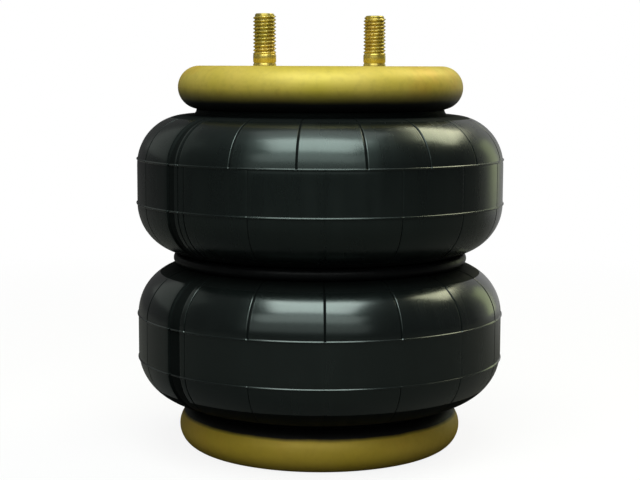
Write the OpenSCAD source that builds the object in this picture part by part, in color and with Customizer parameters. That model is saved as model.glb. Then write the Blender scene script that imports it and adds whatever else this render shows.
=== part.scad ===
// Air suspension spring with two convolutions: two bead plates with curled rims, a rubber
// bellows laid up in four layers, a girdle hoop round its waist and a bump stop inside.
// Z is the axis of the spring, z = 0 is the outer face of the lower plate.

/* [Bead plates] */
// Diameter over the curled rim
plate_d = 160; // [150:1:162]
// Thickness of the plate sheet
plate_t = 2.5; // [2:0.1:3.2]
// Outer radius of the curl in section
curl_r = 12; // [11:0.25:13]
// Angle above the rim's widest point where the curl ends
lip_angle = 78; // [70:1:84]

/* [Bellows] */
// Largest diameter of the two convolutions
bellows_d = 206; // [200:1:216]
// Radius of the convolution's rounded corners
corner_r = 28; // [25:0.5:30]
// Height of the upright band round each convolution
band_h = 21; // [16:0.5:26]
// Radius where the shoulder turns up into the curl
neck_fillet_r = 3.2; // [2.6:0.1:3.6]
// Thickness of the outer rubber cover
cover_t = 1.4; // [1:0.1:1.8]
// Thickness of each cord ply
ply_t = 1.1; // [0.8:0.1:1.4]
// Thickness of the inner rubber liner
liner_t = 1.3; // [1:0.1:1.6]
// Adhesive line between two layers
bond_gap = 0.1; // [0.05:0.01:0.2]
// Radius of the moulded ridges in section
ridge_r = 0.6; // [0.4:0.05:0.9]
// Height of a ridge above the cover
ridge_proud = 0.45; // [0.3:0.05:0.6]
// Distance of the ridge nearer the plate from the middle of its convolution
plate_ridge_dz = 14.1; // [13:0.1:18]
// Distance of the ridge nearer the waist from the middle of its convolution
waist_ridge_dz = 10.5; // [5:0.1:10.5]

/* [Girdle hoop] */
// Outer diameter of the hoop
hoop_d = 166; // [163:0.5:168]
// Diameter of the hoop's round bar
hoop_bar_d = 6.6; // [5.6:0.1:7.6]
// Gap between the hoop and the groove it lies in
hoop_gap = 0.35; // [0.3:0.05:0.5]
// Half height of the waist ring that the hoop holds in
waist_half_h = 2.8; // [2.2:0.1:2.9]

/* [Bead wires] */
// Diameter of one strand
strand_d = 1.9; // [1.5:0.05:2.1]
// Strands laid round the middle one
strand_count = 6; // [3:1:6]
// Gap between neighbouring strands
strand_gap = 0.12; // [0.08:0.01:0.2]
// Width of the seam where the plies end behind the wires
seam_w = 0.8; // [0.5:0.1:1.2]

/* [Mounting studs] */
// Distance between the two studs
stud_spacing = 70; // [66:0.5:76]
// Thread diameter of a stud
stud_d = 12.7; // [10:0.1:14]
// Height of a stud above the plate
stud_h = 28.5; // [24:0.5:34]
// Length of the chamfer at the stud's end
stud_chamfer = 1.6; // [1:0.1:2]
// Diameter of its shoulder in the plate
stud_shoulder_d = 13.6; // [13.2:0.1:15]
// Diameter of the weld head inside the plate
stud_head_d = 21; // [19:0.5:23]
// Thickness of the weld head
stud_head_h = 4; // [3:0.25:5]

/* [Blind nuts] */
// Distance between the two blind nuts
nut_spacing = 70; // [68:0.5:74]
// Diameter of the tapped hole
nut_hole_d = 7.94; // [6.8:0.02:8.5]
// Depth of the tapped hole from the plate's face
nut_hole_depth = 15; // [12:0.5:15.5]
// Diameter of the spigot in the plate
nut_spigot_d = 14.3; // [13.5:0.1:15.5]
// Diameter of the nut's body
nut_body_d = 19; // [17:0.5:20]
// Height of the nut's body above the sheet
nut_body_h = 16; // [15:0.5:18]
// Chamfer of the closed end
nut_chamfer = 2; // [1:0.25:3]

/* [Air inlet] */
// Distance of the inlet's middle from the plate's rim
inlet_from_rim = 35.5; // [35:0.5:40]
// Diameter of the tapped hole
inlet_hole_d = 11.12; // [10:0.02:12]
// Diameter of the spigot in the plate
inlet_spigot_d = 18; // [16:0.5:19]
// Diameter of the bush inside the plate
inlet_body_d = 23; // [21:0.5:24]
// Height of the bush inside the plate
inlet_body_h = 12; // [9:0.5:14]
// Chamfer of the bush
inlet_chamfer = 1.5; // [0.5:0.25:2]

/* [Bump stop] */
// Closing stroke at which the upper plate meets the bump stop
closing_stroke = 100; // [85:1:110]
// Room left over the nose at the end of that stroke
stop_gap = 0.5; // [0.3:0.1:1.5]
// Diameter of its foot between the blind nuts
bump_foot_d = 47; // [42:0.5:48]
// Height of the foot
bump_foot_h = 18; // [17:0.5:20]
// Number of bulges above the foot
bulge_count = 3; // [1:1:3]
// Radius of the lowest bulge in section
bulge_r = 13; // [11:0.5:14]
// Diameter over the lowest bulge
bulge_d = 60; // [54:0.5:64]
// How much smaller in radius each next bulge is
bulge_step = 1.5; // [0.5:0.25:2]
// Diameter of the nose that meets the upper plate
nose_d = 41; // [38:0.5:43]
// Corner radius of the nose
nose_r = 6; // [4:0.5:8]
// Diameter of the well for the nut and washer
well_d = 28; // [27:0.5:30]
// Thickness of rubber under the washer
seat_h = 20; // [16:0.5:24]
// Thread diameter of the welded stud
stop_stud_d = 9.5; // [8:0.1:10]
// Length of the stud above the washer
stop_stud_end = 12; // [10:0.5:16]
// Diameter of the washer
washer_d = 25; // [22:0.5:26]
// Thickness of the washer
washer_t = 2.5; // [1.5:0.25:3]
// Width across the nut's flats
stop_nut_af = 14.3; // [13:0.1:16]
// Height of the nut
stop_nut_h = 8.3; // [6:0.1:9]

/* [Fits] */
// Gap between a soft or curved piece and its seat
seat_gap = 0.3; // [0.2:0.05:0.4]
// Radial clearance of a spigot or stud in its hole
hole_gap = 0.15; // [0.1:0.01:0.25]
// Clearance of the bump stop round its stud
bump_gap = 0.4; // [0.3:0.05:0.6]

/* [Hidden] */
$fn = 144;

// Each layer runs from its own depth under the cover's surface, outside first
LAYER_T = [cover_t, ply_t, ply_t, liner_t];
function layer_start(i) = i == 0 ? 0 : layer_start(i - 1) + LAYER_T[i - 1] + bond_gap;
function layer_end(i) = layer_start(i) + LAYER_T[i];
wall_t = layer_end(3);

// Curl: a circle in section, with the bellows' bead inside it
curl_c = plate_d / 2 - curl_r;
curl_in_r = curl_r - plate_t;
bead_r = curl_in_r - seat_gap;
neck_r = curl_c + curl_in_r * cos(lip_angle) - seat_gap;
neck_c = neck_r + neck_fillet_r;
neck_z = 2 * curl_r;
inlet_offset = plate_d / 2 - inlet_from_rim;

// Convolution: an upright band between two rounded corners. The neck's fillet runs on into the
// flat shoulder, or straight into the corner where the bellows is too narrow for a flat.
corner_c = bellows_d / 2 - corner_r;
neck_run = neck_fillet_r + corner_r;
neck_dx = max(0, neck_c - corner_c);
low_corner_z = neck_z + sqrt(neck_run * neck_run - neck_dx * neck_dx);
shoulder_z = low_corner_z - corner_r;
high_corner_z = low_corner_z + band_h;
middle_z = low_corner_z + band_h / 2;

// Waist: the groove round the hoop runs on from the corner without a kink
hoop_r = hoop_bar_d / 2;
hoop_c = hoop_d / 2 - hoop_r;
groove_r = hoop_r + hoop_gap;
groove_run = corner_r + groove_r;
hoop_dx = hoop_c - corner_c;
hoop_dz = sqrt(groove_run * groove_run - hoop_dx * hoop_dx);
waist_z = high_corner_z + hoop_dz;
waist_cut_z = waist_z - waist_half_h - seat_gap;
free_h = 2 * waist_z;

inner_face_z = plate_t;
strand_pitch = strand_d + strand_gap;
wire_hole_r = strand_pitch + strand_d / 2 + strand_gap;
nose_z = free_h - closing_stroke - inner_face_z - stop_gap;
washer_z = inner_face_z + seat_h;
stop_nut_z = washer_z + washer_t;

STEEL_GOLD = "darkkhaki";
RUBBER = "dimgray";
CORD = "tan";

// Turns a piece of the lower half over for the upper half
module upper() {
    translate([0, 0, free_h]) mirror([0, 0, 1]) children();
}

// A curl seen in section: from the flat of the plate round the outside to the lip
module curl_section() {
    translate([curl_c, curl_r]) difference() {
        circle(curl_r);
        circle(curl_in_r);
        translate([-2 * curl_r, -curl_r]) square([2 * curl_r, 2 * curl_r]);
        rotate(lip_angle) square(2 * curl_r);
    }
}

module bead_plate_blank() {
    rotate_extrude() {
        square([curl_c, plate_t]);
        curl_section();
    }
}

// A hole through the sheet for a spigot or stud
module sheet_hole(d) {
    translate([0, 0, -plate_t]) cylinder(h = 3 * plate_t, d = d + 2 * hole_gap);
}

module lower_bead_plate() {
    color(STEEL_GOLD) difference() {
        bead_plate_blank();
        for (side = [-1, 1]) translate([side * nut_spacing / 2, 0, 0]) sheet_hole(nut_spigot_d);
    }
}

module upper_bead_plate() {
    color(STEEL_GOLD) upper() difference() {
        bead_plate_blank();
        for (side = [-1, 1]) translate([side * stud_spacing / 2, 0, 0]) sheet_hole(stud_shoulder_d);
        translate([0, inlet_offset, 0]) sheet_hole(inlet_spigot_d);
    }
}

// Weld nut with a closed end, so that the bolt hole holds air
module blind_nut() {
    color(STEEL_GOLD) difference() {
        union() {
            cylinder(h = inner_face_z, d = nut_spigot_d);
            translate([0, 0, inner_face_z]) cylinder(h = nut_body_h - nut_chamfer, d = nut_body_d);
            translate([0, 0, inner_face_z + nut_body_h - nut_chamfer])
                cylinder(h = nut_chamfer, d1 = nut_body_d, d2 = nut_body_d - 2 * nut_chamfer);
        }
        translate([0, 0, -plate_t]) cylinder(h = nut_hole_depth + plate_t, d = nut_hole_d);
    }
}

module lower_blind_nut_left() { translate([-nut_spacing / 2, 0, 0]) blind_nut(); }
module lower_blind_nut_right() { translate([nut_spacing / 2, 0, 0]) blind_nut(); }

// Stud with a weld head inside the plate and a shoulder in it, its thread left as a plain shank
module mounting_stud() {
    color(STEEL_GOLD) upper() {
        translate([0, 0, inner_face_z]) cylinder(h = stud_head_h, d = stud_head_d);
        cylinder(h = inner_face_z, d = stud_shoulder_d);
        translate([0, 0, stud_chamfer - stud_h]) cylinder(h = stud_h - stud_chamfer, d = stud_d);
        translate([0, 0, -stud_h])
            cylinder(h = stud_chamfer, d1 = stud_d - 2 * stud_chamfer, d2 = stud_d);
    }
}

module mounting_stud_left() { translate([-stud_spacing / 2, 0, 0]) mounting_stud(); }
module mounting_stud_right() { translate([stud_spacing / 2, 0, 0]) mounting_stud(); }

module air_inlet_bush() {
    color(STEEL_GOLD) translate([0, inlet_offset, 0]) upper() difference() {
        union() {
            cylinder(h = inner_face_z, d = inlet_spigot_d);
            translate([0, 0, inner_face_z]) cylinder(h = inlet_body_h - inlet_chamfer, d = inlet_body_d);
            translate([0, 0, inner_face_z + inlet_body_h - inlet_chamfer])
                cylinder(h = inlet_chamfer, d1 = inlet_body_d, d2 = inlet_body_d - 2 * inlet_chamfer);
        }
        translate([0, 0, -plate_t]) cylinder(h = inlet_body_h + 3 * plate_t, d = inlet_hole_d);
    }
}

// One strand in the middle and a ring of strands round it
module bead_wire() {
    color("silver") translate([0, 0, curl_r]) {
        rotate_extrude() translate([curl_c, 0]) circle(d = strand_d);
        for (i = [0 : strand_count - 1])
            rotate_extrude()
                translate([curl_c + strand_pitch * cos(i * 360 / strand_count),
                           strand_pitch * sin(i * 360 / strand_count)]) circle(d = strand_d);
    }
}

module lower_bead_wire() { bead_wire(); }
module upper_bead_wire() { upper() bead_wire(); }

// The bellows' bead fills the curl, turned up round the wires, and its root leads to the neck
module bead_rubber() {
    color(RUBBER) rotate_extrude() difference() {
        union() {
            translate([curl_c, curl_r]) circle(bead_r);
            translate([neck_r - wall_t, curl_r]) square([wall_t, neck_z - curl_r - seat_gap]);
        }
        translate([curl_c, curl_r]) circle(wire_hole_r);
        translate([curl_c - 2 * bead_r, curl_r - seam_w / 2]) square([2 * bead_r, seam_w]);
    }
}

module lower_bead_rubber() { bead_rubber(); }
module upper_bead_rubber() { upper() bead_rubber(); }

// What lies inside the bellows' wall at a depth under its surface. It runs on a little past the
// neck and the waist, where layer_section cuts all the layers off level.
module inside_section(depth) {
    neck_share = (neck_fillet_r + depth) / neck_run;
    hoop_share = (corner_r - depth) / groove_run;
    join_r = corner_c + hoop_share * hoop_dx;
    join_z = high_corner_z + hoop_share * hoop_dz;
    for (z = [low_corner_z, high_corner_z]) translate([corner_c, z]) circle(corner_r - depth);
    translate([0, low_corner_z]) square([bellows_d / 2 - depth, band_h]);
    translate([0, shoulder_z + depth]) square([corner_c, middle_z - shoulder_z - depth]);
    translate([0, curl_r]) square([neck_r - depth, corner_r]);
    difference() {
        translate([0, neck_z]) square([neck_c - neck_share * neck_dx, corner_r]);
        translate([neck_c, neck_z]) circle(neck_fillet_r + depth);
    }
    difference() {
        union() {
            translate([0, low_corner_z]) square([min(corner_c, join_r), band_h + corner_r - depth]);
            translate([0, join_z]) square([join_r, waist_z - join_z]);
        }
        translate([hoop_c, waist_z]) circle(groove_r + depth);
    }
}

// One layer of the lower convolution, between the neck and the cut at the waist
module layer_section(i) {
    intersection() {
        difference() {
            inside_section(layer_start(i));
            inside_section(layer_end(i));
        }
        union() {
            translate([0, neck_z]) square([bellows_d, waist_cut_z - neck_z]);
            translate([hoop_c, middle_z]) square([bellows_d, waist_z - middle_z]);
        }
    }
}

// Moulded ridges at the edges of the convolution's band
module ridge_section() {
    sink = ridge_r - ridge_proud;
    rise = asin((plate_ridge_dz - band_h / 2) / corner_r);
    translate([corner_c + (corner_r - sink) * cos(rise), low_corner_z - (corner_r - sink) * sin(rise)])
        circle(ridge_r);
    translate([bellows_d / 2 - sink, middle_z + waist_ridge_dz]) circle(ridge_r);
}

module outer_cover() {
    color(RUBBER) rotate_extrude() {
        layer_section(0);
        difference() {
            ridge_section();
            inside_section(layer_end(0) / 2);
        }
    }
}

module layer(i, tint) {
    color(tint) rotate_extrude() layer_section(i);
}

module lower_outer_cover() { outer_cover(); }
module lower_outer_ply() { layer(1, CORD); }
module lower_inner_ply() { layer(2, CORD); }
module lower_inner_liner() { layer(3, RUBBER); }
module upper_outer_cover() { upper() outer_cover(); }
module upper_outer_ply() { upper() layer(1, CORD); }
module upper_inner_ply() { upper() layer(2, CORD); }
module upper_inner_liner() { upper() layer(3, RUBBER); }

// One layer of the waist, which bends round the inside of the hoop
module waist_layer(i, tint) {
    color(tint) rotate_extrude() intersection() {
        translate([hoop_c, waist_z]) difference() {
            circle(groove_r + layer_end(i));
            circle(groove_r + layer_start(i));
        }
        translate([0, waist_z - waist_half_h]) square([hoop_c, 2 * waist_half_h]);
    }
}

module waist_outer_cover() { waist_layer(0, RUBBER); }
module waist_outer_ply() { waist_layer(1, CORD); }
module waist_inner_ply() { waist_layer(2, CORD); }
module waist_inner_liner() { waist_layer(3, RUBBER); }

module girdle_hoop() {
    color("darkslategray") translate([0, 0, waist_z])
        rotate_extrude() translate([hoop_c, 0]) circle(hoop_r);
}

// Middle of a bulge of the bump stop, each resting on the one below
function bulge_z(i) = i == 0 ? inner_face_z + bump_foot_h + bulge_r
                             : bulge_z(i - 1) + 2 * bulge_r - (2 * i - 1) * bulge_step;

// Bump stop with bulges that fold on each other, bolted to the lower plate through its well
module bump_stop() {
    color(RUBBER) rotate_extrude() difference() {
        union() {
            translate([0, inner_face_z]) square([bump_foot_d / 2, bump_foot_h]);
            translate([0, inner_face_z]) square([nose_d / 2, nose_z - nose_r - inner_face_z]);
            translate([0, nose_z - nose_r]) square([nose_d / 2 - nose_r, nose_r]);
            translate([nose_d / 2 - nose_r, nose_z - nose_r]) circle(nose_r);
            for (i = [0 : bulge_count - 1])
                translate([bulge_d / 2 - bulge_r, bulge_z(i)]) circle(bulge_r - i * bulge_step);
        }
        square([stop_stud_d / 2 + bump_gap, nose_z]);
        translate([0, washer_z]) square([well_d / 2, nose_z]);
    }
}

module bump_stop_stud() {
    color("silver") translate([0, 0, inner_face_z])
        cylinder(h = seat_h + washer_t + stop_stud_end, d = stop_stud_d);
}

module bump_stop_washer() {
    color("silver") translate([0, 0, washer_z]) difference() {
        cylinder(h = washer_t, d = washer_d);
        translate([0, 0, -washer_t]) cylinder(h = 3 * washer_t, d = stop_stud_d + 2 * hole_gap);
    }
}

module bump_stop_nut() {
    color("silver") translate([0, 0, stop_nut_z]) difference() {
        cylinder(h = stop_nut_h, d = stop_nut_af / cos(30), $fn = 6);
        translate([0, 0, -stop_nut_h]) cylinder(h = 3 * stop_nut_h, d = stop_stud_d + 2 * hole_gap);
    }
}

lower_bead_plate();
lower_blind_nut_left();
lower_blind_nut_right();
lower_bead_wire();
lower_bead_rubber();
bump_stop();
bump_stop_stud();
bump_stop_washer();
bump_stop_nut();
lower_outer_cover();
lower_outer_ply();
lower_inner_ply();
lower_inner_liner();
girdle_hoop();
waist_outer_cover();
waist_outer_ply();
waist_inner_ply();
waist_inner_liner();
upper_bead_plate();
mounting_stud_left();
mounting_stud_right();
air_inlet_bush();
upper_bead_wire();
upper_bead_rubber();
upper_outer_cover();
upper_outer_ply();
upper_inner_ply();
upper_inner_liner();
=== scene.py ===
# Air suspension spring: curled bead plates, layered bellows, girdle hoop and threaded studs
import math
import bmesh
import bpy
import numpy as np
from mathutils import Matrix, Vector


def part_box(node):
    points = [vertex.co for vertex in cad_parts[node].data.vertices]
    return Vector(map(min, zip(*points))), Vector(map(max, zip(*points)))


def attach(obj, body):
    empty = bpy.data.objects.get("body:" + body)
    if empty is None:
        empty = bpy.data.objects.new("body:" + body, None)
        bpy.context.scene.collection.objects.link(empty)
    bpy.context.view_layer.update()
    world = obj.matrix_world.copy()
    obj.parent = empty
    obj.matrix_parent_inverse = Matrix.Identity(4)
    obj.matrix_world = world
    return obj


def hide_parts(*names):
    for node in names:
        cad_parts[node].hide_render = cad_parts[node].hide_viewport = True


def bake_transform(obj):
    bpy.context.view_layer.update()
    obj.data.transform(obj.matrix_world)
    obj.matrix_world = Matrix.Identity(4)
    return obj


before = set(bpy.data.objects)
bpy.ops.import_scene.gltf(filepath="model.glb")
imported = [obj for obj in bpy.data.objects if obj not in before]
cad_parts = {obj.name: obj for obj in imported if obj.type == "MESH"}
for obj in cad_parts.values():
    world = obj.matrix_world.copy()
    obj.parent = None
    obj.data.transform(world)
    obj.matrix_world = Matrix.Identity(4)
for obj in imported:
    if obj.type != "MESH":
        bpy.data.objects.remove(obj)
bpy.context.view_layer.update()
mm = 0.001
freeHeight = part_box("upper_bead_plate")[1].z   # outer face of the upper plate
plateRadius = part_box("upper_bead_plate")[1].x
print("frame loaded, free height", round(freeHeight, 4))


# Camera: the photograph's viewing angle, level with the upper plate
view = {
    "azimuth": -28.3,       # the left stud is the nearer one
    "distance": 0.850,
    "height": 0.21487,
    "pitchDown": 6.6,
    "roll": 0.2,
    "lens": 84.5,
    "sensor": 36.0,
    "nearest": 0.05,
}


def placeCamera():
    camera = bpy.data.objects.new("camera", bpy.data.cameras.new("camera"))
    bpy.context.scene.collection.objects.link(camera)
    camera.data.sensor_width = view["sensor"]
    camera.data.lens = view["lens"]
    camera.data.clip_start = view["nearest"]
    turn = math.radians(view["azimuth"])
    across = view["distance"] * math.sin(turn)
    back = -view["distance"] * math.cos(turn)
    place = Matrix.Translation((across, back, view["height"]))
    aim = Matrix.Rotation(turn, 4, "Z") @ Matrix.Rotation(math.radians(90 - view["pitchDown"]), 4, "X")
    camera.matrix_world = place @ aim @ Matrix.Rotation(math.radians(view["roll"]), 4, "Z")
    bpy.context.scene.camera = camera


placeCamera()
print("camera placed")


# Angle about the spring's axis of what the camera sees at a given angle right of centre
def seenAt(degrees):
    return math.radians(view["azimuth"] - 90 + degrees)


# Gives a shader socket a value, or links it to another socket
def feed(tree, socket, value):
    if isinstance(value, bpy.types.NodeSocket):
        tree.links.new(value, socket)
    else:
        socket.default_value = value


# A setting is one of the node's inputs, by name or number, or else one of its properties
def addNode(tree, kind, settings=None):
    node = tree.nodes.new(kind)
    for name, value in (settings or {}).items():
        if isinstance(name, int) or name in node.inputs:
            feed(tree, node.inputs[name], value)
        else:
            setattr(node, name, value)
    return node


def newGroup(name, inputs, outputs):
    group = bpy.data.node_groups.new(name, "ShaderNodeTree")
    for socketName, value in inputs.items():
        socket = group.interface.new_socket(name=socketName, in_out="INPUT", socket_type="NodeSocketFloat")
        socket.default_value = value
    for socketName in outputs:
        group.interface.new_socket(name=socketName, in_out="OUTPUT", socket_type="NodeSocketFloat")
    return group, group.nodes.new("NodeGroupInput").outputs, group.nodes.new("NodeGroupOutput").inputs


def useGroup(tree, group, values=None):
    node = tree.nodes.new("ShaderNodeGroup")
    node.node_tree = group
    for name, value in (values or {}).items():
        node.inputs[name].default_value = value
    return node.outputs


def mathNode(tree, operation, first, second=None):
    node = addNode(tree, "ShaderNodeMath", {"operation": operation, 0: first})
    if second is not None:
        feed(tree, node.inputs[1], second)
    return node.outputs[0]


def times(tree, first, second):
    return mathNode(tree, "MULTIPLY", first, second)


# First and second in the proportion share to 1 - share
def weigh(tree, share, first, second):
    return mathNode(tree, "ADD", times(tree, first, share), times(tree, second, 1 - share))


def mixColours(tree, factor, first, second):
    node = addNode(tree, "ShaderNodeMix", {"data_type": "RGBA", 0: factor})
    for index, colour in ((6, first), (7, second)):   # the node's two colour inputs
        feed(tree, node.inputs[index], colour if isinstance(colour, bpy.types.NodeSocket) else (*colour, 1))
    return node.outputs[2]


def mapRange(tree, source, low, high, toLow=0.0, toHigh=1.0):
    return addNode(tree, "ShaderNodeMapRange", {
        "clamp": True, "Value": source, "From Min": low, "From Max": high,
        "To Min": toLow, "To Max": toHigh}).outputs[0]


def noise(tree, vector, scale, detail, roughness=0.5):
    return addNode(tree, "ShaderNodeTexNoise", {
        "Vector": vector, "Scale": scale, "Detail": detail, "Roughness": roughness}).outputs[0]


def objectPlace(tree):
    return addNode(tree, "ShaderNodeTexCoord").outputs["Object"]


def split(tree, vector):
    return addNode(tree, "ShaderNodeSeparateXYZ", {"Vector": vector}).outputs


def fromAxis(tree, parts):
    squares = mathNode(tree, "ADD", times(tree, parts["X"], parts["X"]), times(tree, parts["Y"], parts["Y"]))
    return mathNode(tree, "SQRT", squares)


# Vector that runs round the axis, up it and out from it, so that streaks follow the moulding
def roundCoordinates(tree, squeeze):
    parts = split(tree, objectPlace(tree))
    angle = mathNode(tree, "ARCTAN2", parts["Y"], parts["X"])
    along = mathNode(tree, "SUBTRACT", parts["Z"], fromAxis(tree, parts))
    return addNode(tree, "ShaderNodeCombineXYZ", {
        "X": times(tree, mathNode(tree, "SINE", angle), plateRadius),
        "Y": times(tree, mathNode(tree, "COSINE", angle), plateRadius),
        "Z": times(tree, along, squeeze)}).outputs[0]


# Moulded rubber: fine grain, streaks down the moulding, and a pale bloom in patches
skinPattern = {
    "grain": (4.0, 0.6), "streak": (5.0, 0.55), "cloud": (5.0, 0.6),   # detail and roughness of each noise
    "squeeze": 0.12, "cloudScale": 14.0, "cloudSpan": (0.45, 0.75), "streakSpan": (0.35, 0.8),
    "grainShare": 0.5, "cloudShare": 0.6,
}


def makeMouldSkin():
    group, given, result = newGroup("mouldSkin", {"Grain": 900.0, "Streak": 160.0, "Bloom": 0.5},
                                    ("Height", "Bloom", "Gloss"))
    place = objectPlace(group)
    aroundAxis = roundCoordinates(group, skinPattern["squeeze"])
    grain = noise(group, place, given["Grain"], *skinPattern["grain"])
    streak = noise(group, aroundAxis, given["Streak"], *skinPattern["streak"])
    cloud = noise(group, place, skinPattern["cloudScale"], *skinPattern["cloud"])
    bloom = times(group, mapRange(group, cloud, *skinPattern["cloudSpan"]),
                  mapRange(group, streak, *skinPattern["streakSpan"]))
    feed(group, result["Height"], weigh(group, skinPattern["grainShare"], grain, streak))
    feed(group, result["Bloom"], times(group, bloom, given["Bloom"]))
    feed(group, result["Gloss"], weigh(group, skinPattern["cloudShare"], cloud, streak))
    return group


# Yellow zinc: soft drifts between olive, gold and a warmer brown, and faint handling marks
filmPattern = {
    "Drift": {"scale": 18.0, "detail": 3.0, "span": (0.35, 0.65)},
    "Warm": {"scale": 31.0, "detail": 4.0, "span": (0.52, 0.74)},
    "Marks": {"scale": 260.0, "detail": 6.0, "span": (0.45, 0.8)},
    "Height": {"scale": 1400.0, "detail": 3.0, "span": None},
}
filmRoughness = 0.55


def makeZincFilm():
    group, given, result = newGroup("zincFilm", {"Scale": 1.0}, tuple(filmPattern))
    place = objectPlace(group)
    for name, pattern in filmPattern.items():
        size = times(group, given["Scale"], pattern["scale"])
        value = noise(group, place, size, pattern["detail"], filmRoughness)
        feed(group, result[name], mapRange(group, value, *pattern["span"]) if pattern["span"] else value)
    return group


# Worn mask on outside edges, broken up by noise
wearPattern = {"level": (0.97, 0.995), "breakDetail": 4.0, "breakSpan": (0.35, 0.65)}


def makeEdgeWear():
    group, given, result = newGroup("edgeWear", {"Scale": 400.0, "Low": 0.52, "High": 0.6}, ("Mask",))
    surface = addNode(group, "ShaderNodeNewGeometry").outputs
    upright = mathNode(group, "ABSOLUTE", split(group, surface["Normal"])["Z"])
    flat = mapRange(group, upright, *wearPattern["level"])   # level faces have no edge in them
    edge = mathNode(group, "SUBTRACT", surface["Pointiness"], flat)
    breakUp = noise(group, objectPlace(group), given["Scale"], wearPattern["breakDetail"])
    rise = mapRange(group, edge, given["Low"], given["High"])
    feed(group, result["Mask"], times(group, rise, mapRange(group, breakUp, *wearPattern["breakSpan"])))
    return group


# Painted shade: mask of the curl's side towards the bellows, where the curl lies in shade, from Low to High
# in distance from the plate's outer face
curlShadePattern = {"edgeWobbleScale": 60.0, "edgeWobbleDetail": 5.0, "edgeWobble": 1.2 * mm, "curlFrom": plateRadius * 0.8}


def makePaintedCurlShade():
    group, given, result = newGroup("paintedCurlShade", {"Low": 18.2 * mm, "High": 19.9 * mm}, ("Mask",))
    place = objectPlace(group)
    parts = split(group, place)
    depth = mathNode(group, "MINIMUM", parts["Z"], mathNode(group, "SUBTRACT", freeHeight, parts["Z"]))
    edgeWobble = noise(group, place, curlShadePattern["edgeWobbleScale"], curlShadePattern["edgeWobbleDetail"])
    edgeWobble = times(group, mathNode(group, "SUBTRACT", edgeWobble, 0.5), curlShadePattern["edgeWobble"])
    rise = mapRange(group, mathNode(group, "ADD", depth, edgeWobble), given["Low"], given["High"])
    onCurl = mathNode(group, "GREATER_THAN", fromAxis(group, parts), curlShadePattern["curlFrom"])
    feed(group, result["Mask"], times(group, rise, onCurl))
    return group


mouldSkin = makeMouldSkin()
paintedCurlShade = makePaintedCurlShade()
zincFilm = makeZincFilm()
edgeWear = makeEdgeWear()


def newMaterial(name, colour, roughness, settings=None):
    material = bpy.data.materials.new(name)
    material.use_nodes = True
    material.diffuse_color = (*colour, 1)
    tree = material.node_tree
    shader = tree.nodes["Principled BSDF"]
    shader.inputs["Base Color"].default_value = (*colour, 1)
    shader.inputs["Roughness"].default_value = roughness
    for socket, value in (settings or {}).items():
        shader.inputs[socket].default_value = value
    return material, tree, shader


def addBump(tree, shader, height, strength, distance):
    bump = addNode(tree, "ShaderNodeBump", {"Strength": strength, "Distance": distance, "Height": height})
    feed(tree, shader.inputs["Normal"], bump.outputs["Normal"])


rubberLook = {
    "cover": {"colour": (0.0034, 0.0048, 0.0045), "bloomColour": (0.020, 0.024, 0.022),
              "roughness": (0.22, 0.34), "bloom": 0.35, "bump": 0.22, "specular": 0.5,
              "tint": (0.76, 1.0, 0.93), "coat": 0.3},
    "glossy": {"colour": (0.0034, 0.0048, 0.0045), "bloomColour": (0.020, 0.024, 0.022),
               "roughness": (0.20, 0.30), "bloom": 0.35, "bump": 0.20, "specular": 0.5,
               "tint": (0.76, 1.0, 0.93), "coat": 0.6},
    # Painted shade: darker, rough, low-specular rubber for the neck, beside the waist and in the grooves,
    # where shade falls
    "paintedShade": {"colour": (0.0026, 0.0034, 0.0032), "bloomColour": (0.006, 0.007, 0.007),
               "roughness": (0.6, 0.8), "bloom": 0.3, "bump": 0.15, "specular": 0.12,
               "tint": (0.8, 1.0, 0.95), "coat": 0.0},
    "bead": {"colour": (0.006, 0.0065, 0.007), "bloomColour": (0.02, 0.02, 0.02),
             "roughness": (0.4, 0.6), "bloom": 0.3, "bump": 0.2, "specular": 0.35,
             "tint": (0.9, 1.0, 0.97), "coat": 0.0},
    "liner": {"colour": (0.012, 0.012, 0.012), "bloomColour": (0.05, 0.05, 0.05),
              "roughness": (0.45, 0.65), "bloom": 0.6, "bump": 0.3, "specular": 0.35,
              "tint": (1.0, 1.0, 1.0), "coat": 0.0},
    "bump": {"colour": (0.014, 0.014, 0.014), "bloomColour": (0.06, 0.058, 0.055),
             "roughness": (0.55, 0.75), "bloom": 0.7, "bump": 0.5, "specular": 0.3,
             "tint": (1.0, 1.0, 1.0), "coat": 0.0},
}
rubberSkin = {
    "plainRoughness": 0.4,   # for previews that leave the texture out
    "coatRoughness": 0.18, "glossSpan": (0.3, 0.7), "bumpDistance": 0.06 * mm,
}


def makeRubber(name):
    look = rubberLook[name]
    material, tree, shader = newMaterial(name + "Rubber", look["colour"], rubberSkin["plainRoughness"], {
        "Specular IOR Level": look["specular"], "Specular Tint": (*look["tint"], 1),
        "Coat Weight": look["coat"], "Coat Roughness": rubberSkin["coatRoughness"]})
    skin = useGroup(tree, mouldSkin, {"Bloom": look["bloom"]})
    body = mixColours(tree, skin["Bloom"], look["colour"], look["bloomColour"])
    gloss = mapRange(tree, skin["Gloss"], *rubberSkin["glossSpan"], *look["roughness"])
    feed(tree, shader.inputs["Base Color"], body)
    feed(tree, shader.inputs["Roughness"], gloss)
    addBump(tree, shader, skin["Height"], look["bump"], rubberSkin["bumpDistance"])
    return material


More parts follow.
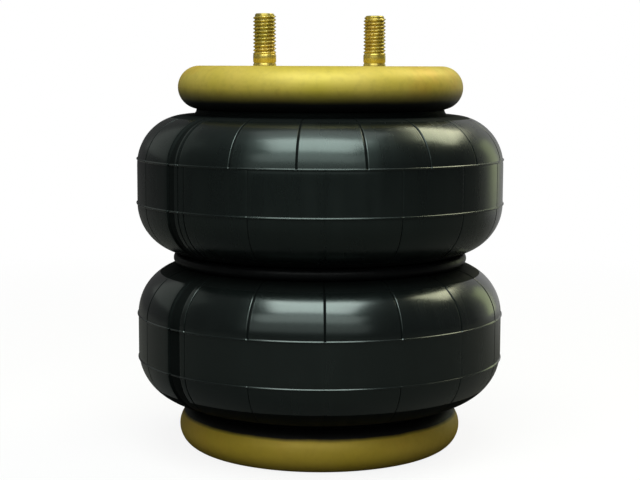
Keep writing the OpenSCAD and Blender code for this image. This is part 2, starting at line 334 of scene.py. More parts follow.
zincLook = {
    "plate": {"olive": (0.50, 0.40, 0.022), "gold": (0.62, 0.475, 0.075), "warm": (0.60, 0.34, 0.030),
              "metallic": 0.3, "roughness": (0.54, 0.66), "coat": 0.28, "scale": 1.0, "bump": 0.12},
    "stud": {"olive": (0.48, 0.40, 0.07), "gold": (0.66, 0.50, 0.11), "warm": (0.40, 0.26, 0.05),
             "metallic": 0.7, "roughness": (0.26, 0.4), "coat": 0.18, "scale": 3.0, "bump": 0.08},
    "clear": {"olive": (0.50, 0.52, 0.54), "gold": (0.62, 0.62, 0.61), "warm": (0.44, 0.42, 0.38),
              "metallic": 0.85, "roughness": (0.3, 0.46), "coat": 0.0, "scale": 3.0, "bump": 0.1},
}
zincSkin = {
    "plainRoughness": 0.4, "coatRoughness": 0.5, "bumpDistance": 0.03 * mm,
    "warmShare": 0.65, "markShare": 0.18, "markColour": (0.12, 0.10, 0.03),
    "wearShare": 0.35, "wearColour": (0.72, 0.70, 0.62),
}
# Painted light and shade on the bead plates: a brighter brown on the lower plate, an olive-black painted
# shade on the upper curl, and a near-black painted shade on both curls
platePaintedLight = {
    "paintedBounceShare": 0.5, "paintedBounceColour": (0.92, 0.60, 0.055), "curlShadeColour": (0.004, 0.004, 0.004),
    "oliveShadeReach": {"Low": 12.0 * mm, "High": 19.0 * mm}, "oliveShadeShare": 0.9,
    "oliveShadeColour": (0.045, 0.042, 0.010),
}


# Painted light and shade on the bead plates: the lower plate is mixed toward a brighter brown, standing in
# for the light the floor throws up onto it, and painted shade darkens each curl by the bellows, to olive
# black on the upper plate and to near black with no metal or coat on both
def paintLightOnPlate(tree, shader, body, look):
    height = split(tree, objectPlace(tree))["Z"]
    isUpper = mathNode(tree, "GREATER_THAN", height, freeHeight / 2)
    # painted light: the lower plate is mixed toward a brighter brown, standing in for the floor's bounce
    # light
    share = platePaintedLight["paintedBounceShare"]
    brown = mathNode(tree, "SUBTRACT", share, times(tree, isUpper, share))
    body = mixColours(tree, brown, body, platePaintedLight["paintedBounceColour"])
    # painted shade: the upper plate's curl darkens to olive black towards the bellows
    oliveShade = useGroup(tree, paintedCurlShade, platePaintedLight["oliveShadeReach"])["Mask"]
    oliveShade = times(tree, times(tree, oliveShade, isUpper), platePaintedLight["oliveShadeShare"])
    body = mixColours(tree, oliveShade, body, platePaintedLight["oliveShadeColour"])
    # painted shade: near black, with no metal and no coat, on both curls by the bellows
    curlShade = useGroup(tree, paintedCurlShade)["Mask"]
    unshadedPart = mathNode(tree, "SUBTRACT", 1.0, curlShade)
    feed(tree, shader.inputs["Metallic"], times(tree, unshadedPart, look["metallic"]))
    feed(tree, shader.inputs["Coat Weight"], times(tree, unshadedPart, look["coat"]))
    return mixColours(tree, curlShade, body, platePaintedLight["curlShadeColour"])


def makeZinc(name):
    look = zincLook[name]
    material, tree, shader = newMaterial(name + "Zinc", look["gold"], zincSkin["plainRoughness"], {
        "Metallic": look["metallic"], "Coat Weight": look["coat"],
        "Coat Roughness": zincSkin["coatRoughness"]})
    film = useGroup(tree, zincFilm, {"Scale": look["scale"]})
    wear = useGroup(tree, edgeWear)
    body = mixColours(tree, film["Drift"], look["olive"], look["gold"])
    body = mixColours(tree, times(tree, film["Warm"], zincSkin["warmShare"]), body, look["warm"])
    body = mixColours(tree, times(tree, film["Marks"], zincSkin["markShare"]), body, zincSkin["markColour"])
    body = mixColours(tree, times(tree, wear["Mask"], zincSkin["wearShare"]), body, zincSkin["wearColour"])
    if name == "plate":
        body = paintLightOnPlate(tree, shader, body, look)
    feed(tree, shader.inputs["Base Color"], body)
    feed(tree, shader.inputs["Roughness"], mapRange(tree, film["Marks"], 0.0, 1.0, *look["roughness"]))
    addBump(tree, shader, film["Height"], look["bump"], zincSkin["bumpDistance"])
    return material


# Rubbered cord fabric: slanting cords under a thin skin, crossed in the other ply
cordLook = {
    "plain": (0.20, 0.13, 0.07), "roughness": 0.6, "specular": 0.3, "cordsRound": 260.0, "slant": 5200.0,
    "valley": (0.05, 0.035, 0.02), "crown": (0.30, 0.20, 0.11), "skin": (0.02, 0.02, 0.02), "skinShare": 0.4,
    "fluffScale": 700.0, "fluffDetail": 4.0, "bump": 0.6, "bumpDistance": 0.3 * mm,
}


def makeCord(name, slant):
    material, tree, shader = newMaterial(name, cordLook["plain"], cordLook["roughness"],
                                         {"Specular IOR Level": cordLook["specular"]})
    place = objectPlace(tree)
    parts = split(tree, place)
    angle = mathNode(tree, "ARCTAN2", parts["Y"], parts["X"])
    path = mathNode(tree, "ADD", times(tree, angle, cordLook["cordsRound"]), times(tree, parts["Z"], slant))
    cord = mathNode(tree, "ADD", times(tree, mathNode(tree, "SINE", path), 0.5), 0.5)
    fluff = noise(tree, place, cordLook["fluffScale"], cordLook["fluffDetail"])
    body = mixColours(tree, cord, cordLook["valley"], cordLook["crown"])
    body = mixColours(tree, times(tree, fluff, cordLook["skinShare"]), body, cordLook["skin"])
    feed(tree, shader.inputs["Base Color"], body)
    addBump(tree, shader, cord, cordLook["bump"], cordLook["bumpDistance"])
    return material


# Black enamel on the hoop, scuffed to grey where it stands out
enamelLook = {
    "colour": (0.005, 0.0055, 0.006), "drift": (0.016, 0.017, 0.018), "driftShare": 0.25, "scale": 2.0,
    "wearColour": (0.10, 0.10, 0.10), "wearShare": 0.06, "wearLow": 0.51, "wearHigh": 0.56,
    "plainRoughness": 0.35, "roughness": (0.36, 0.55), "specular": 0.14, "bump": 0.04,
    "bumpDistance": 0.05 * mm,
}


def makeEnamel():
    look = enamelLook
    material, tree, shader = newMaterial("hoopEnamel", look["colour"], look["plainRoughness"],
                                         {"Specular IOR Level": look["specular"]})
    film = useGroup(tree, zincFilm, {"Scale": look["scale"]})
    wear = useGroup(tree, edgeWear, {"Low": look["wearLow"], "High": look["wearHigh"]})
    body = mixColours(tree, times(tree, film["Warm"], look["driftShare"]), look["colour"], look["drift"])
    body = mixColours(tree, times(tree, wear["Mask"], look["wearShare"]), body, look["wearColour"])
    feed(tree, shader.inputs["Base Color"], body)
    feed(tree, shader.inputs["Roughness"], mapRange(tree, film["Marks"], 0.0, 1.0, *look["roughness"]))
    addBump(tree, shader, film["Height"], look["bump"], look["bumpDistance"])
    return material


# Bronze-coated spring wire, drawn along its length
wireLook = {
    "plain": (0.55, 0.40, 0.24), "dark": (0.42, 0.28, 0.16), "bright": (0.62, 0.48, 0.32), "roughness": 0.3,
    "streakScale": 220.0, "streakDetail": 4.0, "squeeze": 6.0, "streakSpan": (0.35, 0.7),
    "bump": 0.2, "bumpDistance": 0.03 * mm,
}


def makeWire():
    look = wireLook
    material, tree, shader = newMaterial("bronzeWire", look["plain"], look["roughness"], {"Metallic": 1.0})
    streak = noise(tree, roundCoordinates(tree, look["squeeze"]), look["streakScale"], look["streakDetail"])
    body = mixColours(tree, mapRange(tree, streak, *look["streakSpan"]), look["dark"], look["bright"])
    feed(tree, shader.inputs["Base Color"], body)
    addBump(tree, shader, streak, look["bump"], look["bumpDistance"])
    return material


coverRubber = makeRubber("cover")
glossyRubber = makeRubber("glossy")
# painted-shade rubber for the neck, the waist side and the grooves
paintedShadeRubber = makeRubber("paintedShade")
beadRubber = makeRubber("bead")
linerRubber = makeRubber("liner")
bumpRubber = makeRubber("bump")
plateZinc = makeZinc("plate")
studZinc = makeZinc("stud")
clearZinc = makeZinc("clear")
cordLeft = makeCord("outerPlyCord", cordLook["slant"])
cordRight = makeCord("innerPlyCord", -cordLook["slant"])
hoopEnamel = makeEnamel()
bronzeWire = makeWire()
print("materials made")


# Mesh helpers
def ring(count):
    return np.linspace(0, 2 * math.pi, count, endpoint=False)


def arc(centre, radius, first, last, count):
    steps = np.radians(np.linspace(first, last, count))
    return [(centre[0] + radius * math.cos(a), centre[1] + radius * math.sin(a)) for a in steps]


# Points between two ends, without the ends
def line(first, last, count):
    across, up = last[0] - first[0], last[1] - first[1]
    return [(first[0] + across * i / count, first[1] + up * i / count) for i in range(1, count)]


# Spins rows of (radius, height) about the axis. push moves each point along the outline's own normal.
def spin(name, rows, angles, looped=True, push=None, radial=None, upsideDown=False):
    outline = np.array(rows, float)
    count, columns = len(outline), len(angles)
    if looped:
        along = np.roll(outline, -1, 0) - np.roll(outline, 1, 0)
    else:
        along = np.gradient(outline, axis=0)
    along /= np.maximum(np.linalg.norm(along, axis=1, keepdims=True), 1e-12)
    radius = np.repeat(outline[:, :1], columns, 1)
    height = np.repeat(outline[:, 1:], columns, 1)
    if push is not None:
        radius = radius + push * along[:, 1:]
        height = height - push * along[:, :1]
    if radial is not None:
        radius = radius + radial
    if upsideDown:
        height = freeHeight - height
    points = np.stack([radius * np.cos(angles), radius * np.sin(angles), height], -1).reshape(-1, 3)
    last = count if looped else count - 1
    i, j = np.meshgrid(np.arange(last), np.arange(columns), indexing="ij")
    up, side = (i + 1) % count, (j + 1) % columns
    corners = [i * columns + j, i * columns + side, up * columns + side, up * columns + j]
    faces = np.stack(corners, -1).reshape(-1, 4)
    mesh = bpy.data.meshes.new(name)
    mesh.from_pydata(points.tolist(), [], faces.tolist())
    work = bmesh.new()
    work.from_mesh(mesh)
    if not looped:   # close both ends with a fan about the axis
        for row in (0, count - 1):
            work.verts.ensure_lookup_table()
            rim = [work.verts[row * columns + k] for k in range(columns)]
            middle = work.verts.new((0, 0, rim[0].co.z))
            for k in range(columns):
                work.faces.new((rim[k], rim[(k + 1) % columns], middle))
    bmesh.ops.recalc_face_normals(work, faces=work.faces)
    work.to_mesh(mesh)
    work.free()
    mesh.shade_smooth()
    piece = bpy.data.objects.new(name, mesh)
    bpy.context.scene.collection.objects.link(piece)
    return piece


def sharpen(piece, degrees):
    piece.data.set_sharp_from_angle(angle=math.radians(degrees))


def move(piece, x, y):
    piece.data.transform(Matrix.Translation((x, y, 0)))


# How far out a thread stands at each row and angle, from 0 at the root to 1 at the crest
def threadShape(heights, angles, pitch, flat):
    turn = (heights[:, None] / pitch - angles[None, :] / (2 * math.pi)) % 1
    return np.clip((np.abs(2 * turn - 1) - flat) / (1 - 2 * flat), 0, 1)


# Bellows: the same driving sizes as the solid, in metres
bellows = {
    "maxRadius": 103 * mm, "cornerRadius": 28 * mm, "bandHeight": 21 * mm, "neckFillet": 3.2 * mm,
    "curlRadius": 12 * mm, "sheet": 2.5 * mm, "lipAngle": 78.0, "seatGap": 0.3 * mm,
    "hoopRadius": 83 * mm, "hoopBar": 3.3 * mm, "hoopGap": 0.35 * mm, "waistHalf": 2.8 * mm,
    "layers": [1.4 * mm, 1.1 * mm, 1.1 * mm, 1.3 * mm], "bond": 0.1 * mm,
    "plateRidge": 14.1 * mm, "waistRidge": 10.5 * mm, "ridgeHeight": 0.62 * mm, "ridgeWidth": 0.55 * mm,
    "ridgeReach": 0.8 * mm, "ridgeStep": 0.2 * mm, "columns": 176, "layerColumns": 144, "foldEase": 5 * mm,
}
outlineSteps = {   # points on the neck, each corner, the band and the groove
    "fine": (9, 30, 18, 8),
    "plain": (9, 14, 6, 8),
}
curlCentre = plateRadius - bellows["curlRadius"]
lipInside = (bellows["curlRadius"] - bellows["sheet"]) * math.cos(math.radians(bellows["lipAngle"]))
neckRadius = curlCentre + lipInside - bellows["seatGap"]
neckCentre = (neckRadius + bellows["neckFillet"], 2 * bellows["curlRadius"])
cornerRadius = bellows["maxRadius"] - bellows["cornerRadius"]
lowCorner = (cornerRadius, neckCentre[1] + bellows["neckFillet"] + bellows["cornerRadius"])
highCorner = (cornerRadius, lowCorner[1] + bellows["bandHeight"])
middleHeight = (lowCorner[1] + highCorner[1]) / 2
waistCentre = (bellows["hoopRadius"] - bellows["hoopBar"], freeHeight / 2)
grooveRadius = bellows["hoopBar"] + bellows["hoopGap"]
waistCut = waistCentre[1] - bellows["waistHalf"] - bellows["seatGap"]
joinAngle = math.degrees(math.atan2(waistCentre[1] - highCorner[1], waistCentre[0] - highCorner[0]))
ridgeFace = cornerRadius + 20 * mm   # ridges lie further out than this


# Outline of the wall at a depth under its surface, from the neck to the waist
def wallOutline(depth, steps):
    onNeck, onCorner, onBand, onGroove = outlineSteps[steps]
    groove = grooveRadius + depth
    cutAngle = math.degrees(math.asin((waistCut - waistCentre[1]) / groove))
    corner = bellows["cornerRadius"] - depth
    rows = arc(neckCentre, bellows["neckFillet"] + depth, 180, 90, onNeck)
    rows += arc(lowCorner, corner, -90, 0, onCorner)
    rows += line((cornerRadius + corner, lowCorner[1]), (cornerRadius + corner, highCorner[1]), onBand)
    rows += arc(highCorner, corner, 0, joinAngle, onCorner)
    rows += arc(waistCentre, groove, joinAngle - 180, -180 - cutAngle, onGroove)[1:]
    return rows


# Adds rows close together about each ridge, so that it stands out crisply
def refineRows(rows, ridgePlaces):
    fine = []
    for first, last in zip(rows, rows[1:]):
        gap = math.dist(first, last)
        nearest = min(abs(first[1] - height) for height in ridgePlaces)
        near = nearest < bellows["ridgeReach"] + gap and first[0] > ridgeFace
        parts = max(1, round(gap / bellows["ridgeStep"])) if near else 1
        fine += [first] + line(first, last, parts)
    return fine + [rows[-1]]


def layerDepths(index):
    start = sum(bellows["layers"][:index]) + index * bellows["bond"]
    return start, start + bellows["layers"][index]


# Mould marks: 18 joints on the shoulder by the upper plate, 16 elsewhere, and two opposite splice strips
mouldMarks = {
    "shoulderCount": 18, "shoulderOffset": -6.7, "beltCount": 16, "beltOffset": 1.5, "bandShare": 0.2,
    "depth": 0.70 * mm, "width": 0.32 * mm, "lip": 0.04 * mm, "lipAt": 2.2, "paintedShadeDepth": 0.2 * mm,
    "columnsAcross": [-2.0, -1.3, -0.85, -0.5, -0.25, 0, 0.25, 0.5, 0.85, 1.3, 2.0],   # mm from a mark
    "clearance": 1.3, "closest": 1e-4,
    "fadeFrom": 1.5 * mm, "fadeOver": 3 * mm, "outOfRound": 0.10 * mm, "lobes": 3, "lobeStart": 1.0,
}
spliceStrip = {
    "from": -50.8, "to": -46.0, "softness": 0.5 * mm,
    "nearGroove": (0.85 * mm, 1.0 * mm), "farGroove": (0.3 * mm, 0.5 * mm),   # width and depth
}


def markAngles(count, offset):
    return [seenAt(offset + 360 / count * k) for k in range(count)]


def stripAngles():
    return [(seenAt(spliceStrip["from"] + turn), seenAt(spliceStrip["to"] + turn)) for turn in (0, 180)]


def awayFrom(angles, mark):
    return (angles - mark + math.pi) % (2 * math.pi) - math.pi


# Even columns, with close ones across each mark in their place
def coverAngles(marks):
    spread = np.array(mouldMarks["columnsAcross"]) * mm / bellows["maxRadius"]
    angles = list(ring(bellows["columns"]))
    for mark in marks:
        angles = [a for a in angles if abs(awayFrom(a, mark)) > spread[-1] * mouldMarks["clearance"]]
    for mark in marks:
        angles += list((mark + spread) % (2 * math.pi))
    angles = np.sort(np.array(angles))
    keep = np.append(True, np.diff(angles) > mouldMarks["closest"])
    return angles[keep]


# A narrow groove with slightly raised lips, across the given distance
def grooveShape(distance, width, depth, lip=0):
    lipDistance = np.abs(distance) - mouldMarks["lipAt"] * width
    return -depth * np.exp(-(distance / width) ** 2) + lip * np.exp(-(lipDistance / width) ** 2)


# How far the cover's rows and columns are pushed in or out by marks, strips and ridges
def coverRelief(rows, angles, heights, look, plateMarks, beltMarks):
    onPlateSide = (rows[:, 1] < heights[0])[:, None]
    onBand = ((rows[:, 1] >= heights[0]) & (rows[:, 1] <= heights[1]))[:, None]
    fromNeck = rows[:, :1] - neckRadius - mouldMarks["fadeFrom"]
    outwards = np.clip(fromNeck / mouldMarks["fadeOver"], 0, 1)
    waistSide = np.where(onPlateSide, 0.0, np.where(onBand, mouldMarks["bandShare"], look["waistMarks"]))
    push = np.zeros((len(rows), len(angles)))
    for marks, strength in ((plateMarks, onPlateSide * look["plateMarks"]), (beltMarks, waistSide)):
        for mark in marks:
            away = awayFrom(angles, mark)[None, :] * rows[:, :1]
            push += strength * grooveShape(away, mouldMarks["width"], mouldMarks["depth"], mouldMarks["lip"])
    for first, last in stripAngles():
        afterFirst = awayFrom(angles, first)[None, :] * rows[:, :1]
        beforeLast = -awayFrom(angles, last)[None, :] * rows[:, :1]
        inside = ((0.5 + 0.5 * np.tanh(afterFirst / spliceStrip["softness"]))
                  * (0.5 + 0.5 * np.tanh(beforeLast / spliceStrip["softness"])))
        push -= look["stripDepth"] * inside
        push += (grooveShape(afterFirst, *spliceStrip["nearGroove"])
                 + grooveShape(beforeLast, *spliceStrip["farGroove"]))
    push *= outwards   # marks die out in the neck
    for height in heights:   # the two ridges at the edges of the band
        nearest = rows[np.argmin(np.abs(rows[:, 1] - height) + (rows[:, 0] < cornerRadius))]
        distance = np.linalg.norm(rows - nearest, axis=1)
        ridge = np.clip(1 - (distance / bellows["ridgeWidth"]) ** 2, 0, 1) ** 0.5
        push += (bellows["ridgeHeight"] * ridge)[:, None]
    wave = np.sin(mouldMarks["lobes"] * angles + mouldMarks["lobeStart"])[None, :]
    return push + mouldMarks["outOfRound"] * wave * outwards   # never quite round


def makeCover(name, upsideDown, look):
    heights = [middleHeight - bellows["plateRidge"], middleHeight + bellows["waistRidge"]]
    outer = refineRows(wallOutline(0, "fine"), heights)
    inner = wallOutline(layerDepths(0)[1], "plain")
    plateMarks = markAngles(look["count"], look["offset"])
    beltMarks = markAngles(mouldMarks["beltCount"], mouldMarks["beltOffset"])
    stripEdges = [angle for strip in stripAngles() for angle in strip]
    angles = coverAngles(plateMarks + beltMarks + stripEdges)
    push = coverRelief(np.array(outer), angles, heights, look, plateMarks, beltMarks)
    whole = outer + inner[::-1]
    allPush = np.vstack([push, np.zeros((len(inner), len(angles)))])
    piece = spin(name, whole, angles, push=allPush, upsideDown=upsideDown)
    up = np.array(whole)[:, 1:]
    shaded = (up < look["shadedNeck"]) | (up > look["shadedWaist"])   # painted shade on the neck, and on the rubber beside the waist
    shaded = shaded | (allPush < -mouldMarks["paintedShadeDepth"])        # painted shade in the grooves
    corners = shaded.astype(int) + np.roll(shaded, -1, 0) + np.roll(shaded, -1, 1) + np.roll(shaded, (-1, -1), (0, 1))
    piece.data.materials.append(look["material"])
    piece.data.materials.append(paintedShadeRubber)
    onPaintedShade = (corners >= 2).astype(np.int32)   # faces with at least two such corners get the painted-shade rubber
    piece.data.polygons.foreach_set("material_index", onPaintedShade.ravel())
    return piece


def makeLayer(name, index, material, upsideDown):
    start, end = layerDepths(index)
    rows = wallOutline(start, "plain") + wallOutline(end, "plain")[::-1]
    piece = spin(name, rows, ring(bellows["layerColumns"]), upsideDown=upsideDown)
    piece.data.materials.append(material)
    return piece


# Bakes the piece's placement into its mesh; both halves are treated alike
def joinAcross(piece, upper):
    if upper:
        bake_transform(piece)
    else:
        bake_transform(piece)


# The neck and waist heights bound the painted shade on each cover, measured from its own plate
coverPlan = {
    "lower": {"count": mouldMarks["beltCount"], "offset": mouldMarks["beltOffset"],
              "stripDepth": 0.4 * mm, "plateMarks": 0.4, "waistMarks": 1.0,
              "shadedNeck": 36 * mm, "shadedWaist": 100 * mm, "material": glossyRubber},
    "upper": {"count": mouldMarks["shoulderCount"], "offset": mouldMarks["shoulderOffset"],
              "stripDepth": 0.1 * mm, "plateMarks": 1.0, "waistMarks": 0.4,
              "shadedNeck": 28.4 * mm, "shadedWaist": 101 * mm, "material": coverRubber},
}
layerPlan = [
    ("outer_ply", "OuterPly", 1, cordLeft, "ply_cord"),
    ("inner_ply", "InnerPly", 2, cordRight, "ply_cord"),
    ("inner_liner", "InnerLiner", 3, linerRubber, "liner_rubber"),
]
for side, look in coverPlan.items():
    upper = side == "upper"
    cover = makeCover(side + "Cover", upper, look)
    joinAcross(cover, upper)
    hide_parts(side + "_outer_cover")
    for node, title, index, material, slotName in layerPlan:
        piece = makeLayer(side + title, index, material, upper)
        joinAcross(piece, upper)
        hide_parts(side + "_" + node)
print("bellows made")


# Girdle hoop: round bar closed with a butt weld at the back
hoop = {"columns": 360, "section": 40, "weldAt": 155.0, "weldWidth": 2.2 * mm, "weldHeight": 0.25 * mm}


def makeHoop():
    rows = arc(waistCentre, bellows["hoopBar"], 0, 360, hoop["section"] + 1)[:-1]
    angles = ring(hoop["columns"])
    away = awayFrom(angles, seenAt(hoop["weldAt"])) * waistCentre[0]
    weld = hoop["weldHeight"] * np.exp(-(away / hoop["weldWidth"]) ** 2)
    piece = spin("girdleHoop", rows, angles, push=np.repeat(weld[None, :], len(rows), 0))
    piece.data.materials.append(hoopEnamel)
    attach(piece, "girdle")
    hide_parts("girdle_hoop")


makeHoop()
print("girdle hoop made")


# Mounting studs: half-inch coarse thread, plain foot with a turned ring, weld head inside the plate
stud = {
    "spacing": 70 * mm, "radius": 6.35 * mm, "pitch": 25.4 / 13 * mm, "depth": 1.02 * mm, "height": 28.5 * mm,
    "plainFoot": 7.6 * mm, "footTop": 4.5 * mm, "chamfer": 1.6 * mm, "shoulder": 6.8 * mm,
    "headRadius": 10.5 * mm, "headHeight": 4 * mm, "headRound": 0.8 * mm, "headEdge": 0.4 * mm,
    "ring": (0.9 * mm, 1.3 * mm, 1.9 * mm, 2.3 * mm), "ringDepth": 0.35 * mm,
    "endInset": 0.5 * mm, "endCrown": 0.05 * mm, "runIn": 1.2, "crest": 0.10,
    "rowsPerTurn": 14, "columns": 96, "sharpAngle": 42, "turnLeft": 0.6, "turnRight": 2.4,
}


# Rows of (radius, height, how fully threaded) from the weld head to the end
def studRows():
    top, radius, sheet = stud["height"], stud["radius"], bellows["sheet"]
    head, edge, rounding = stud["headRadius"], stud["headEdge"], stud["headRound"]
    rounded = arc((head - rounding, rounding), rounding, -90, 0, 5)
    rows = [(head / 2, -sheet - stud["headHeight"], 0)]
    rows += [(r, z - sheet - stud["headHeight"], 0) for r, z in rounded]
    rows += [(head, -sheet - edge, 0), (head - edge, -sheet, 0)]
    rows += [(stud["shoulder"], -sheet, 0), (stud["shoulder"], 0, 0), (radius, 0, 0)]
    inset = (0, stud["ringDepth"], stud["ringDepth"], 0)
    rows += [(radius - depth, z, 0) for depth, z in zip(inset, stud["ring"])]
    rows += [(radius, stud["footTop"], 0)]
    threadFrom = stud["plainFoot"] - stud["pitch"]
    steps = int((top - threadFrom) / (stud["pitch"] / stud["rowsPerTurn"]))
    for z in np.linspace(threadFrom, top, steps):
        taper = max(0.0, z - (top - stud["chamfer"]))
        rows.append((radius - taper, z, min(1.0, (z - threadFrom) / (stud["runIn"] * stud["pitch"]))))
    rows.append((radius - stud["chamfer"] - stud["endInset"], top + stud["endCrown"], 0))
    return rows


def makeStud(name, x, node, turnBy):
    table = np.array(studRows())
    angles = ring(stud["columns"])
    crest = threadShape(table[:, 1], angles - turnBy, stud["pitch"], stud["crest"])
    root = stud["radius"] - stud["depth"]
    cut = np.minimum(table[:, 2:] * stud["depth"] * (1 - crest), np.maximum(table[:, :1] - root, 0))
    table[:, 1] += freeHeight
    piece = spin(name, table[:, :2], angles, looped=False, radial=-cut)
    sharpen(piece, stud["sharpAngle"])
    move(piece, x, 0)
    piece.data.materials.append(studZinc)
    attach(piece, "upper_end")
    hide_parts(node)


makeStud("studLeft", -stud["spacing"] / 2, "mounting_stud_left", stud["turnLeft"])
makeStud("studRight", stud["spacing"] / 2, "mounting_stud_right", stud["turnRight"])
print("studs made")


# Tapped fittings: the air inlet above, the two blind nuts below
fittings = {
    "inlet": {"offset": 44.5 * mm, "hole": 5.56 * mm, "pitch": 25.4 / 18 * mm, "depth": 0.85 * mm,
              "spigot": 9 * mm, "body": 11.5 * mm, "bodyHeight": 12 * mm, "chamfer": 1.5 * mm},
    "blindNut": {"spacing": 70 * mm, "hole": 3.97 * mm, "pitch": 25.4 / 16 * mm, "depth": 0.72 * mm,
                 "spigot": 7.15 * mm, "body": 9.5 * mm, "bodyHeight": 16 * mm, "chamfer": 2 * mm,
                 "holeDepth": 15 * mm},
}
tapping = {
    "edge": 0.2 * mm, "mouth": 0.5 * mm, "start": 0.3 * mm, "rowsPerTurn": 12, "runOut": 1.5,
    "crest": 0.12, "columns": 96, "sharpAngle": 35, "drillTip": 0.1, "tipRadius": 0.02 * mm,
    "bodyEdge": 0.3 * mm,
}


# Rows from the mouth down the tapped hole, in from the plate's face
def tappedRows(size, deep, through):
    rows = [(size["spigot"] - tapping["edge"], 0, 0), (size["hole"] + size["depth"] + tapping["mouth"], 0, 0)]
    steps = int(deep / (size["pitch"] / tapping["rowsPerTurn"]))
    for z in np.linspace(tapping["start"], deep - tapping["start"], steps):
        mouth = max(0.0, size["depth"] + tapping["edge"] - z)
        end = 0 if through else max(0.0, 1 - (deep - z) / (tapping["runOut"] * size["pitch"]))
        rows.append((size["hole"] + mouth, z, 1 - end))
    if through:
        return rows + [(size["hole"] + size["depth"], deep, 0)]
    rows += [(size["hole"], deep, 0), (tapping["tipRadius"], deep + size["hole"] * tapping["drillTip"], 0)]
    return rows + [(tapping["tipRadius"], bellows["sheet"] + size["bodyHeight"], 0)]


def outsideRows(size, sheet):
    top = sheet + size["bodyHeight"]
    foot = tapping["bodyEdge"]
    rows = [(size["body"] - size["chamfer"], top, 0), (size["body"], top - size["chamfer"], 0)]
    rows += [(size["body"], sheet + foot, 0), (size["body"] - foot, sheet, 0)]
    return rows + [(size["spigot"], sheet, 0), (size["spigot"], tapping["edge"], 0)]


def makeFitting(name, size, deep, through, place, upsideDown, node, body):
    table = np.array(tappedRows(size, deep, through) + outsideRows(size, bellows["sheet"]))
    angles = ring(tapping["columns"])
    pitch = -size["pitch"] if upsideDown else size["pitch"]
    crest = threadShape(table[:, 1], angles, pitch, tapping["crest"])
    cut = table[:, 2:] * size["depth"] * (1 - crest)
    piece = spin(name, table[:, :2], angles, radial=cut, upsideDown=upsideDown)
    sharpen(piece, tapping["sharpAngle"])
    move(piece, *place)
    piece.data.materials.append(plateZinc)
    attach(piece, body)
    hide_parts(node)


inlet = fittings["inlet"]
blindNut = fittings["blindNut"]
makeFitting("airInletBush", inlet, bellows["sheet"] + inlet["bodyHeight"], True, (0, inlet["offset"]), True,
            "air_inlet_bush", "upper_end")
for side, name in ((-1, "left"), (1, "right")):
    place = (side * blindNut["spacing"] / 2, 0)
    makeFitting("blindNut_" + name, blindNut, blindNut["holeDepth"], False, place, False,
                "lower_blind_nut_" + name, "lower_end")
print("tapped fittings made")


# Finishes of the solids that are shown as they are
nodeFinish = {
    "lower_bead_plate": plateZinc, "upper_bead_plate": plateZinc,
    "lower_bead_wire": bronzeWire, "upper_bead_wire": bronzeWire,
    "lower_bead_rubber": beadRubber, "upper_bead_rubber": beadRubber,
    "bump_stop": bumpRubber, "bump_stop_stud": clearZinc,
    "bump_stop_washer": clearZinc, "bump_stop_nut": clearZinc,
    "waist_outer_cover": coverRubber, "waist_outer_ply": cordLeft,
    "waist_inner_ply": cordRight, "waist_inner_liner": linerRubber,
}
for node, material in nodeFinish.items():
    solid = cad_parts[node]
    for slotIndex in range(len(solid.material_slots)):
        solid.material_slots[slotIndex].material = material
print("solids finished")


# Floor and light: pale floor, softboxes placed by where their reflections lie on the rubber
studio = {
    "floor": (0.10, 0.10, 0.098), "floorRoughness": 0.9, "floorSpecular": 0.1, "floorGlow": 0.89,
    "floorHalf": 6.0, "floorDrop": 0.2 * mm, "fade": (0.3, 0.9), "ambient": 0.02,
    "mirroredRoom": 0.05, "mirroredBackdrop": 0.38, "backdropAzimuth": 152, "backdropEdge": 0.78,
    "lamps": {
        "keyBox": {"azimuth": -6.5, "elevation": 63.5, "distance": 1.3, "size": (1.02, 0.68), "radiance": 6.8,
                   "colour": (0.93, 1.0, 0.97)},
        "topBox": {"azimuth": -4, "elevation": 86, "distance": 1.3, "size": (1.05, 0.75), "radiance": 1.3,
                   "colour": (0.96, 1.0, 0.98)},
        "fillBox": {"azimuth": -8, "elevation": 37, "distance": 1.4, "size": (1.6, 0.42), "radiance": 2.1,
                    "colour": (0.93, 1.0, 0.97)},
        "lowFillBox": {"azimuth": -8, "elevation": 18, "distance": 1.5, "size": (2.2, 0.5), "radiance": 0.62,
                       "colour": (0.93, 1.0, 0.97)},
        "warmBox": {"azimuth": 123, "elevation": 46, "distance": 1.4, "size": (0.74, 0.50), "radiance": 6.0,
                    "colour": (1.0, 0.95, 0.66)},
        "rightStrip": {"azimuth": 135, "elevation": 4, "distance": 1.6, "size": (0.4, 1.0), "radiance": 0.75,
                       "colour": (0.86, 1.0, 0.42)},
        "leftBox": {"azimuth": -122, "elevation": 28, "distance": 1.5, "size": (1.2, 0.9), "radiance": 0.18,
                    "colour": (0.92, 1.0, 0.92)},
    },
}
white = (1, 1, 1, 1)


def addLamp(name, setup):
    lamp = bpy.data.lights.new(name, "AREA")
    lamp.shape = "RECTANGLE"
    lamp.size, lamp.size_y = setup["size"]
    lamp.energy = setup["radiance"] * math.pi * lamp.size * lamp.size_y
    lamp.color = setup["colour"]
    holder = bpy.data.objects.new(name, lamp)
    bpy.context.scene.collection.objects.link(holder)
    turn, rise = math.radians(setup["azimuth"] + view["azimuth"]), math.radians(setup["elevation"])
    middle = Vector((0, 0, freeHeight / 2))
    direction = Vector((math.sin(turn) * math.cos(rise), -math.cos(turn) * math.cos(rise), math.sin(rise)))
    holder.location = middle + direction * setup["distance"]
    holder.rotation_euler = direction.to_track_quat("Z", "Y").to_euler()
    holder.visible_camera = False


for lampName, setup in studio["lamps"].items():
    addLamp(lampName, setup)


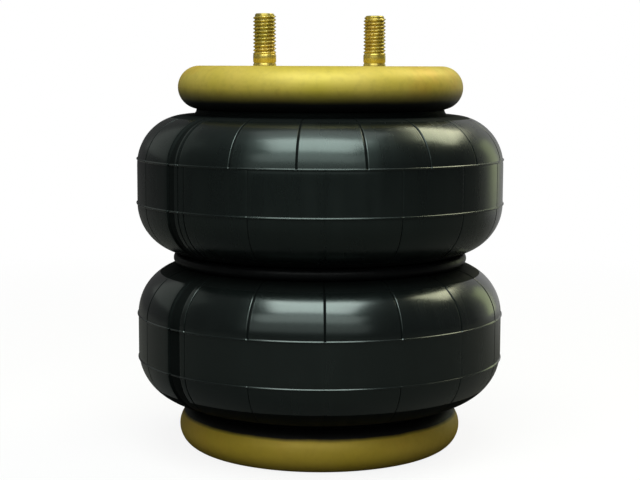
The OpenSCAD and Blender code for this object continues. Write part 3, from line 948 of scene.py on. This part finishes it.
# What gloss and glass see of the surroundings along a direction: a dark room in front, a pale backdrop behind
def mirroredLevel(tree, direction):
    turn = math.radians(view["azimuth"] + studio["backdropAzimuth"])
    unit = addNode(tree, "ShaderNodeVectorMath", {"operation": "NORMALIZE", 0: direction}).outputs["Vector"]
    behind = addNode(tree, "ShaderNodeVectorMath", {
        "operation": "DOT_PRODUCT", 0: unit, 1: (math.sin(turn), -math.cos(turn), 0)}).outputs["Value"]
    level = mapRange(tree, behind, studio["backdropEdge"], 1.0,
                     studio["mirroredRoom"], studio["mirroredBackdrop"])
    path = addNode(tree, "ShaderNodeLightPath").outputs
    return times(tree, mathNode(tree, "ADD", path["Is Glossy Ray"], path["Is Transmission Ray"]), level)


# The floor fades to the white of the background some way from the spring
def makeFloor():
    mesh = bpy.data.meshes.new("floor")
    half, down = studio["floorHalf"], -studio["floorDrop"]
    corners = [(-half, -half, down), (half, -half, down), (half, half, down), (-half, half, down)]
    mesh.from_pydata(corners, [], [(0, 1, 2, 3)])
    floor = bpy.data.objects.new("floor", mesh)
    bpy.context.scene.collection.objects.link(floor)
    material, tree, shader = newMaterial("paleFloor", studio["floor"], studio["floorRoughness"], {
        "Specular IOR Level": studio["floorSpecular"], "Emission Color": white})
    place = objectPlace(tree)
    reach = addNode(tree, "ShaderNodeVectorMath", {"operation": "LENGTH", 0: place}).outputs["Value"]
    far = mapRange(tree, reach, *studio["fade"])
    seen = addNode(tree, "ShaderNodeLightPath").outputs["Is Camera Ray"]
    feed(tree, shader.inputs["Emission Strength"], times(tree, seen, studio["floorGlow"]))
    glow = addNode(tree, "ShaderNodeEmission", {"Color": white, "Strength": 1.0})
    share = times(tree, mathNode(tree, "ADD", seen, mirroredLevel(tree, place)), far)
    mix = addNode(tree, "ShaderNodeMixShader", {0: share, 1: shader.outputs[0], 2: glow.outputs[0]})
    feed(tree, tree.nodes["Material Output"].inputs["Surface"], mix.outputs[0])
    floor.data.materials.append(material)


makeFloor()


def makeWorld():
    world = bpy.data.worlds.new("studio")
    world.use_nodes = True
    tree = world.node_tree
    tree.nodes.clear()
    path = addNode(tree, "ShaderNodeLightPath").outputs
    direction = addNode(tree, "ShaderNodeTexCoord").outputs["Generated"]
    level = mathNode(tree, "ADD", mirroredLevel(tree, direction), studio["ambient"])
    around = addNode(tree, "ShaderNodeBackground", {"Color": white, "Strength": level})
    behind = addNode(tree, "ShaderNodeBackground", {"Color": white, "Strength": 1.0})
    mix = addNode(tree, "ShaderNodeMixShader", {
        0: path["Is Camera Ray"], 1: around.outputs[0], 2: behind.outputs[0]})
    addNode(tree, "ShaderNodeOutputWorld", {"Surface": mix.outputs[0]})
    bpy.context.scene.world = world


makeWorld()
bpy.context.scene.view_settings.view_transform = "Standard"
print("floor, lamps and world made")
